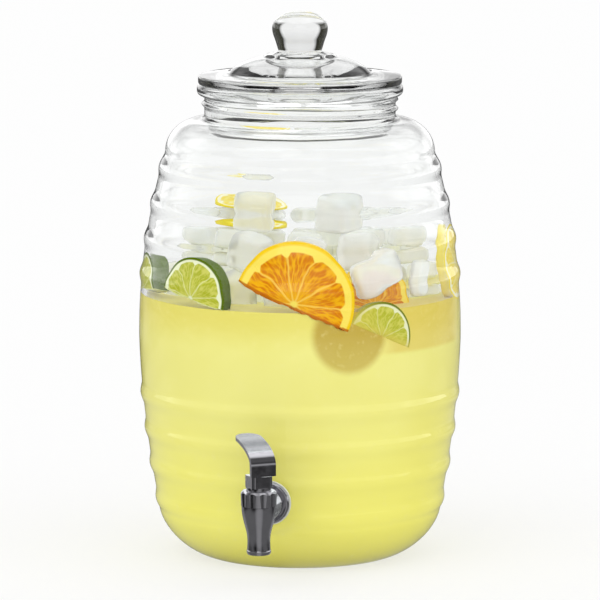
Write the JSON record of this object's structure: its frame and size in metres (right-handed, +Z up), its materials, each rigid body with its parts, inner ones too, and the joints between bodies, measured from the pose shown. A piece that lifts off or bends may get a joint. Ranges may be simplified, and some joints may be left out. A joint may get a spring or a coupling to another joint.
{
  "type": "glass beverage dispenser",
  "caption": "Ribbed glass barrel drinks dispenser with a lift-off knobbed glass lid, a lever-operated spigot low on the wall, and lemonade with ice and citrus slices inside.",
  "frame": {"origin": "centre of the jar's foot ring, on the surface that it stands on", "axes": "+Z up along the jar's axis, -Y towards the spigot, +X to the right as the spigot is faced"},
  "size_m": [0.225, 0.2658, 0.3804],
  "materials": {
    "jar_glass": "clear pressed glass, polished",
    "lid_glass": "clear pressed glass, polished",
    "chromed_plastic": "moulded plastic with bright chrome plate",
    "clear_silicone": "translucent silicone, satin",
    "valve_silicone": "soft silicone, matt",
    "nut_nylon": "moulded plastic, satin",
    "stem_plastic": "moulded plastic, satin",
    "spring_steel": "stainless wire and pin, drawn finish",
    "lemonade": "cloudy lemonade",
    "ice": "ice, frosted by melting",
    "orange_flesh": "cut orange, wet flesh, pith and peel",
    "lime_flesh": "cut lime, wet flesh, pith and peel",
    "lemon_flesh": "cut lemon, wet flesh, pith and peel"
  },
  "bodies": {
    "jar": {"jar": "jar_glass", "spigot_body": "chromed_plastic", "outer_washer": "clear_silicone", "inner_washer": "clear_silicone", "shank_nut": "nut_nylon", "collar_nut": "chromed_plastic", "lemonade": "lemonade", "ice_cubes": "ice", "orange_half_front": "orange_flesh", "orange_half_side": "orange_flesh", "orange_round_sunk": "orange_flesh", "lime_half_front": "lime_flesh", "lime_half_side": "lime_flesh", "lime_round_front": "lime_flesh", "lemon_round_side": "lemon_flesh", "lemon_round_top": "lemon_flesh"},
    "lid": {"lid": "lid_glass"},
    "bonnet": {"bonnet": "chromed_plastic", "bonnet_seal": "valve_silicone", "stem_seal": "valve_silicone", "lever_pin": "spring_steel", "return_spring": "spring_steel"},
    "stem": {"stem": "stem_plastic", "seat_cup": "valve_silicone"},
    "lever": {"lever": "chromed_plastic"}
  },
  "joints": [
    {"name": "lid_lift", "type": "slide", "parent": "jar", "child": "lid", "axis": [0, 0, 1], "range_m": [0, 0.16]},
    {"name": "lever_swing", "type": "hinge", "parent": "jar", "child": "bonnet", "pos_m": [0, -0.1409, 0.07], "axis": [0, 0, 1], "range_deg": [0, 288]},
    {"name": "lever_tilt", "type": "hinge", "parent": "bonnet", "child": "lever", "pos_m": [-0.00294, -0.13686, 0.0756], "axis": [-0.809, -0.5878, 0], "range_deg": [0, 38], "stiffness_Nm_per_rad": 0.03, "springref_deg": -34.38},
    {"name": "stem_lift", "type": "slide", "parent": "bonnet", "child": "stem", "axis": [0, 0, 1], "range_m": [0, 0.00345], "deforming": ["return_spring"]}
  ],
  "couplings": [
    {"joint": "stem_lift", "follows": "lever_tilt", "m_per_rad": 0.0051528}
  ]
}
